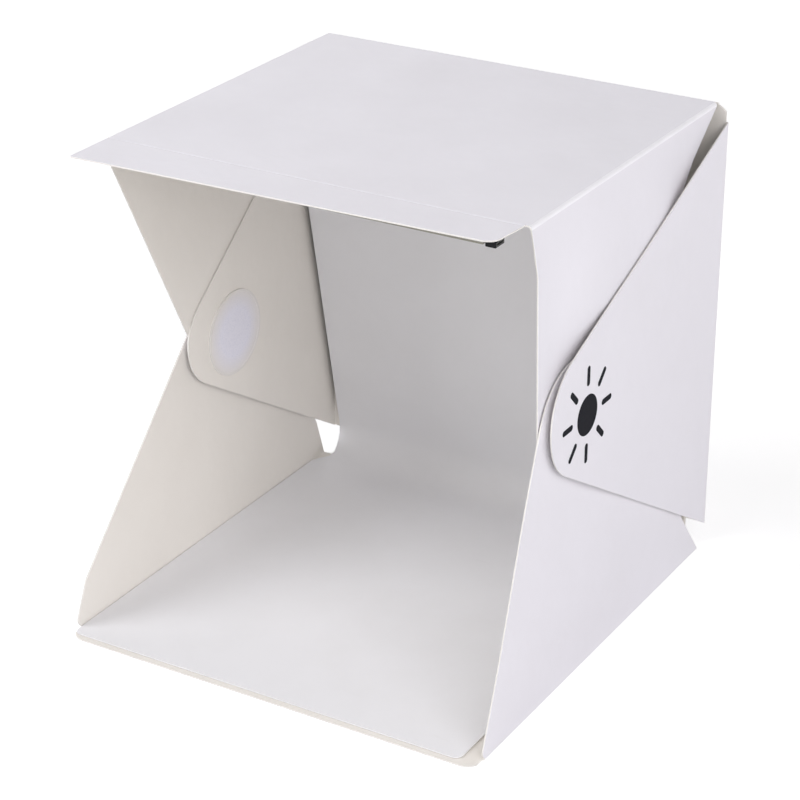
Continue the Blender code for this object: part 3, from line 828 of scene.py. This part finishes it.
def build_sheets():
    """The box's panels and flaps, with a rounded fold along every crease."""
    base_low, base_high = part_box("base_panel")
    back_low, back_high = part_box("back_panel")
    top_low, top_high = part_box("top_panel")
    x_axis, y_axis, z_axis = Vector((1, 0, 0)), Vector((0, 1, 0)), Vector((0, 0, 1))
    rear = back_high.y
    roof = top_high.z
    foot = base_low.z + FOLD_R
    eaves = roof - FOLD_R
    heel = rear - FOLD_R

    base_cuts = {"back": ((0, heel, 0), y_axis)}
    back_cuts = {"base": ((0, 0, foot), -z_axis), "top": ((0, 0, eaves), z_axis)}
    top_cuts = {"back": ((0, heel, 0), y_axis)}
    for label, side in SIDES:
        lower_x = side * base_high.x
        upper_x = side * top_high.x
        rear_x = back_high.x if side == RIGHT else back_low.x
        base_cuts[label] = ((lower_x - side * FOLD_R, 0, 0), x_axis * side)
        top_cuts[label] = ((upper_x - side * FOLD_R, 0, 0), x_axis * side)
        back_cuts[label] = ((rear_x - side * FOLD_R, 0, 0), x_axis * side)
    crease = top_low.y + SCORE_HALF
    lip_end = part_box("front_lip")[1].y - SCORE_HALF
    top_cuts["lip"] = ((0, crease, 0), -y_axis)
    base = sheet_panel("base_panel", "base", (0, 0, -1), base_cuts)
    back = sheet_panel("back_panel", "back", (0, 1, 0), back_cuts)
    top = sheet_panel("top_panel", "top", (0, 0, 1), top_cuts)
    lip = sheet_panel("front_lip", "lip", (0, 0, 1), {"top": ((0, lip_end, 0), y_axis)})
    crease_web(lip_end, crease, span(top["lip"], lip["top"], 0), roof)

    fold_strip("fold_base_back", (0, heel, foot), -z_axis, y_axis,
               span(base["back"], back["base"], 0))
    fold_strip("fold_back_top", (0, heel, eaves), y_axis, z_axis,
               span(back["top"], top["back"], 0))
    for label, side in SIDES:
        out = x_axis * side
        outward = (side, 0, 0)
        lower_x = base_cuts[label][0][0]
        upper_x = top_cuts[label][0][0]
        rear_x = back_cuts[label][0][0]
        lower = sheet_panel("lower_flap_" + label, "lower_" + label, outward,
                            {"base": ((0, 0, foot), -z_axis)},
                            lower_bow(label) if side == RIGHT else None)
        upper = sheet_panel("upper_flap_" + label, "upper_" + label, outward,
                            {"top": ((0, 0, eaves), z_axis)},
                            upper_bow(label) if side == RIGHT else None)
        flap = sheet_panel("rear_flap_" + label, "rear_" + label, outward,
                           {"back": ((0, heel, 0), y_axis)}, rear_bow(label))
        fold_strip("fold_base_" + label, (lower_x, 0, foot),
                   -z_axis, out, span(base[label], lower["base"], 1))
        fold_strip("fold_top_" + label, (upper_x, 0, eaves),
                   z_axis, out, span(top[label], upper["top"], 1))
        fold_strip("fold_back_" + label, (rear_x, heel, 0),
                   y_axis, out, span(back[label], flap["back"], 2))


# Backdrop

BACKDROP_THICK = 0.0005
BACKDROP_BEND_R = 0.018
BACKDROP_LEAN = math.radians(11.5)
BACKDROP_ACROSS = 40
BACKDROP_ALONG = 120
BACKDROP_CORNER = 0.004
BACKDROP_CORNER_SHARES = (0.12, 0.37, 0.63, 0.88)
BACKDROP_BOW = 0.0008
WAIST_IN = 0.0090               # the left edge comes in by this much in the bend
WAIST_SHARE = 0.3               # share of the bend in which it does
UPRIGHT_IN = 0.0065             # and by this much where the sheet stands


def backdrop_inset(share):
    """How far the left edge has come in, at a share of the bend."""
    turned = ease(share / WAIST_SHARE)
    return WAIST_IN * turned + (UPRIGHT_IN - WAIST_IN) * share * turned


def build_backdrop():
    """One sheet that lies on the base, turns up at the back and leans forward."""
    low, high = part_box("backdrop_sheet")
    y_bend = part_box("back_panel")[0].y - GAP - BACKDROP_BEND_R
    turn = math.pi / 2 + BACKDROP_LEAN
    floor_run = y_bend - low.y
    bend_run = BACKDROP_BEND_R * turn
    z_end = low.z + BACKDROP_BEND_R * (1 - math.cos(turn))
    rise_run = (high.z - z_end) / math.cos(BACKDROP_LEAN) - BACKDROP_THICK
    length = floor_run + bend_run + rise_run

    bm = bmesh.new()
    bmesh.ops.create_grid(bm, x_segments=BACKDROP_ACROSS, y_segments=BACKDROP_ALONG,
                          size=UNIT_HALF)
    bmesh.ops.scale(bm, verts=bm.verts, vec=(high.x - low.x, length, 1))
    bmesh.ops.translate(bm, verts=bm.verts, vec=((low.x + high.x) / 2, length / 2, 0))
    for end, side in ((low.x, LEFT), (high.x, RIGHT)):
        centre = Vector((end - side * BACKDROP_CORNER, BACKDROP_CORNER, 0))
        for share in BACKDROP_CORNER_SHARES:
            angle = share * math.pi / 2
            normal = Vector((side * math.sin(angle), -math.cos(angle), 0))
            bmesh.ops.bisect_plane(bm, geom=bm.verts[:] + bm.edges[:] + bm.faces[:], dist=MERGE,
                                   plane_co=centre + normal * BACKDROP_CORNER,
                                   plane_no=normal, clear_outer=True)
    for vert in bm.verts:
        x, run, _ = vert.co
        share = min(max((run - floor_run) / bend_run, 0), 1)
        slope = share * turn
        beyond = max(run - floor_run - bend_run, 0)
        across = (high.x - x) / (high.x - low.x)
        bow = BACKDROP_BOW * math.sin(math.pi * beyond / rise_run) * across * (1 - across) * 4
        y = min(run, floor_run) + low.y + BACKDROP_BEND_R * math.sin(slope)
        y -= beyond * math.sin(BACKDROP_LEAN) + bow
        z = low.z + BACKDROP_BEND_R * (1 - math.cos(slope)) + beyond * math.cos(BACKDROP_LEAN)
        vert.co = (x + across * backdrop_inset(share), y, z)
    bm.normal_update()
    bmesh.ops.solidify(bm, geom=bm.faces[:], thickness=-BACKDROP_THICK)
    bmesh.ops.recalc_face_normals(bm, faces=bm.faces)
    for face in bm.faces:
        face.smooth = True
    piece = finish_piece("backdrop", bm, [backdrop_material()], "base")
    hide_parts("backdrop_sheet")


# Hook-and-loop dots: a flat selvedge round a field of loops

DOT_SIDES = 96
DOT_ROUND = 0.00012
DOT_RIM = 0.0013
DOT_STEP = 0.00014
# kind of dot: which way it faces, outward counted positive
DOT_FACES = {"lower_outside": 1, "lower_inside": -1, "upper": 1, "rear": -1}


def build_dot(kind, label, side, looks):
    node = "dot_" + kind + "_" + label
    low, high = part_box(node)
    middle = (low + high) / 2
    radius = (high.y - low.y) / 2
    facing = side * DOT_FACES[kind]
    thick = high.x - low.x + GAP
    profile = ((0, 0), (radius, 0), (radius, thick - DOT_ROUND), (radius - DOT_ROUND, thick),
               (radius - DOT_RIM, thick), (radius - DOT_RIM - DOT_STEP, thick - DOT_STEP),
               (0, thick - DOT_STEP))
    bm = bmesh.new()
    verts = [bm.verts.new((out, 0, up)) for out, up in profile]
    edges = [bm.edges.new(pair) for pair in zip(verts, verts[1:])]
    bmesh.ops.spin(bm, geom=verts + edges, cent=(0, 0, 0), axis=(0, 0, 1), dvec=(0, 0, 0),
                   angle=math.tau, steps=DOT_SIDES, use_merge=True, use_duplicate=False)
    bmesh.ops.remove_doubles(bm, verts=bm.verts, dist=MERGE)
    reach = bm.verts.layers.float.new(DOT_REACH)
    for vert in bm.verts:
        vert[reach] = math.hypot(vert.co.x, vert.co.y) / radius
    for face in bm.faces:
        out = face.calc_center_median()
        field = math.hypot(out.x, out.y) < radius - DOT_RIM and out.z > thick / 2
        face.material_index = 0 if field else 1
        face.smooth = True
    stand = Matrix(((0, 0, facing), (1, 0, 0), (0, 1, 0)))
    bmesh.ops.transform(bm, verts=bm.verts, matrix=stand.to_4x4())
    face_x = high.x if facing > 0 else low.x
    bmesh.ops.translate(bm, verts=bm.verts,
                        vec=(face_x - facing * thick, middle.y, middle.z))
    bmesh.ops.recalc_face_normals(bm, faces=bm.faces)
    body = kind.split("_")[0] + "_" + label
    piece = finish_piece("loop_" + node, bm, looks, body)
    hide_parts(node)


def build_dots():
    looks = (loop_material(), selvedge_material())
    for label, side in SIDES:
        for kind in DOT_FACES:
            build_dot(kind, label, side, looks)


# LED strip

ARRIS = 0.00008             # softened edges of small parts
ARRIS_STEPS = 2
LAMP_WALL = 0.00045         # round a lamp's window
LAMP_DISH = 0.00022         # depth of the window
CONTACT_REACH = 0.0005      # end contact, along the lamp
CONTACT_PROUD = 0.0001
CONTACT_HALF = 0.0009
CONTACT_HEIGHT = 0.00045
CAP_REACH = 0.00042         # plated end of a chip
CAP_PROUD = 0.00003
PAD_LENGTH = 0.0022
PAD_WIDTH = 0.0016
PAD_THICK = 0.00005
PAD_IN = 0.0007             # from the board's long edges
PAD_GROUPS = 5
GOLD_STRIPS = 5
GOLD_WIDTH = 0.00030
GOLD_THICK = 0.00006
GOLD_ARRIS = 0.000015
GOLD_END = 0.0002


def block(bm, low, high, finish=0, arris=ARRIS):
    """Block between two corners with softened edges. Gives its lowest face."""
    low, high = Vector(low), Vector(high)
    others = set(bm.faces)
    verts = bmesh.ops.create_cube(bm, size=1)["verts"]
    bmesh.ops.scale(bm, verts=verts, vec=high - low)
    bmesh.ops.translate(bm, verts=verts, vec=(low + high) / 2)
    edges = list(dict.fromkeys(edge for vert in verts for edge in vert.link_edges))
    bmesh.ops.bevel(bm, geom=edges, offset=arris, segments=ARRIS_STEPS, profile=0.5,
                    affect="EDGES", material=-1)
    faces = [face for face in bm.faces if face not in others]
    for face in faces:
        face.material_index = finish
    return min(faces, key=lambda face: face.calc_center_median().z)


def end_blocks(bm, low, high, reach, proud, half, height, finish):
    """Plated ends that stand a little proud of both ends of a small part."""
    y = (low.y + high.y) / 2
    for end, side in ((low.x, LEFT), (high.x, RIGHT)):
        tip = end + side * proud
        root = end - side * reach
        block(bm, (min(tip, root), y - half, high.z - height),
              (max(tip, root), y + half, high.z), finish, ARRIS / 2)


def numbered(prefix):
    return sorted(name for name in NODES
                  if name.startswith(prefix) and name[len(prefix):].isdigit())


def build_lamps(solder):
    """Lamp packages: pale body, dished yellow window and a contact at each end."""
    bm = bmesh.new()
    names = numbered("led_")
    for name in names:
        low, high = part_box(name)
        high.z += GAP
        face = block(bm, low, high)
        bmesh.ops.inset_region(bm, faces=[face], thickness=LAMP_WALL, depth=0)
        bmesh.ops.inset_region(bm, faces=[face], thickness=LAMP_DISH / 2, depth=-LAMP_DISH)
        face.material_index = 1
        end_blocks(bm, low, high, CONTACT_REACH, CONTACT_PROUD, CONTACT_HALF,
                   CONTACT_HEIGHT, 2)
    looks = [small_material("lamp_body"), small_material("lamp_window"), solder]
    piece = finish_piece("led_lamps", bm, looks, "lip")
    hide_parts(*names)


def build_chips(solder):
    """Resistors: black body between two plated ends."""
    bm = bmesh.new()
    names = numbered("resistor_")
    for name in names:
        low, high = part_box(name)
        high.z += GAP
        block(bm, low, high)
        end_blocks(bm, low, high, CAP_REACH, CAP_PROUD, (high.y - low.y) / 2 + CAP_PROUD,
                   high.z - low.z + CAP_PROUD, 1)
    looks = [small_material("chip_glaze"), solder]
    piece = finish_piece("led_chips", bm, looks, "lip")
    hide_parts(*names)


def build_board(solder):
    """Board with softened edges and pairs of tinned pads where it may be cut."""
    low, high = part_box("led_board")
    bm = bmesh.new()
    block(bm, low, high)
    bm.normal_update()
    for face in bm.faces:
        if abs(face.normal.z) < FACING:
            face.material_index = 2
    run = high.x - low.x - PAD_LENGTH - 2 * PAD_IN
    for i in range(PAD_GROUPS):
        x = low.x + PAD_IN + run * i / (PAD_GROUPS - 1)
        for y in (low.y + PAD_IN, high.y - PAD_IN - PAD_WIDTH):
            block(bm, (x, y, low.z - PAD_THICK), (x + PAD_LENGTH, y + PAD_WIDTH, low.z + ARRIS),
                  1, PAD_THICK / 2)
    looks = [board_material(), solder, small_material("board_core")]
    piece = finish_piece("led_strip_board", bm, looks, "lip")
    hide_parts("led_board")


def dress(node, material):
    """Give a CAD node that stays its finish."""
    mesh = NODES[node].data
    mesh.materials.clear()
    mesh.materials.append(material)


def build_contacts():
    """Gold strips under the socket's tongue."""
    low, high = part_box("socket_tongue")
    bm = bmesh.new()
    for i in range(GOLD_STRIPS):
        y = low.y + (high.y - low.y) * (i + 0.5) / GOLD_STRIPS
        block(bm, (low.x + GOLD_END, y - GOLD_WIDTH / 2, low.z - GOLD_THICK),
              (high.x - GOLD_END, y + GOLD_WIDTH / 2, low.z + GOLD_THICK / 2), 0, GOLD_ARRIS)
    finish_piece("socket_contacts", bm, [small_material("gold_plate")], "lip")


def build_strip():
    solder = small_material("solder", SOLDER_BUMP)
    build_lamps(solder)
    build_chips(solder)
    build_board(solder)
    build_contacts()
    plastic = small_material("socket_plastic", shine=SOCKET_SHINE)
    dress("socket_housing", plastic)
    dress("socket_tongue", plastic)
    dress("socket_shell", small_material("socket_steel", STEEL_BUMP, BRUSHED))
    dress("led_tape", small_material("foam_tape", TAPE_BUMP))


# Printed pictogram: a small sun, for light

SUN_Y = -0.027
SUN_Z = 0.136
SUN_CORE = 0.0098
SUN_RAYS = 8
RAY_FROM = 0.0142
RAY_LENGTH = 0.0098
RAY_HALF = 0.0015
SUN_SIDES = 48
RAY_SIDES = 20
INK_THICK = 0.00004
INK_LIFT = 0.00001


def build_pictogram():
    face_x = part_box("rear_flap_right")[1].x
    bm = bmesh.new()
    bmesh.ops.create_circle(bm, cap_ends=True, segments=SUN_SIDES, radius=SUN_CORE)
    for i in range(SUN_RAYS):
        ray = bmesh.ops.create_circle(bm, cap_ends=True, segments=RAY_SIDES,
                                      radius=RAY_HALF)["verts"]
        for vert in ray:
            if vert.co.x > 0:
                vert.co.x += RAY_LENGTH - 2 * RAY_HALF
        bmesh.ops.translate(bm, verts=ray, vec=(RAY_FROM + RAY_HALF, 0, 0))
        bmesh.ops.rotate(bm, verts=ray, cent=(0, 0, 0),
                         matrix=Matrix.Rotation(math.tau * i / SUN_RAYS, 3, "Z"))
    grown = bmesh.ops.extrude_face_region(bm, geom=bm.faces[:])["geom"]
    bmesh.ops.translate(bm, vec=(0, 0, INK_THICK),
                        verts=[item for item in grown if isinstance(item, bmesh.types.BMVert)])
    stand = Matrix(((0, 0, 1), (1, 0, 0), (0, 1, 0)))
    bmesh.ops.transform(bm, verts=bm.verts, matrix=stand.to_4x4())
    bmesh.ops.translate(bm, verts=bm.verts, vec=(face_x + INK_LIFT, SUN_Y, SUN_Z))
    bmesh.ops.recalc_face_normals(bm, faces=bm.faces)
    finish_piece("sun_pictogram", bm, [ink_material()], "rear_right")


bpy.context.scene.view_settings.view_transform = "Standard"
set_camera()
set_world()
set_lamps()
set_floor()
build_sheets()
build_backdrop()
build_dots()
build_strip()
build_pictogram()
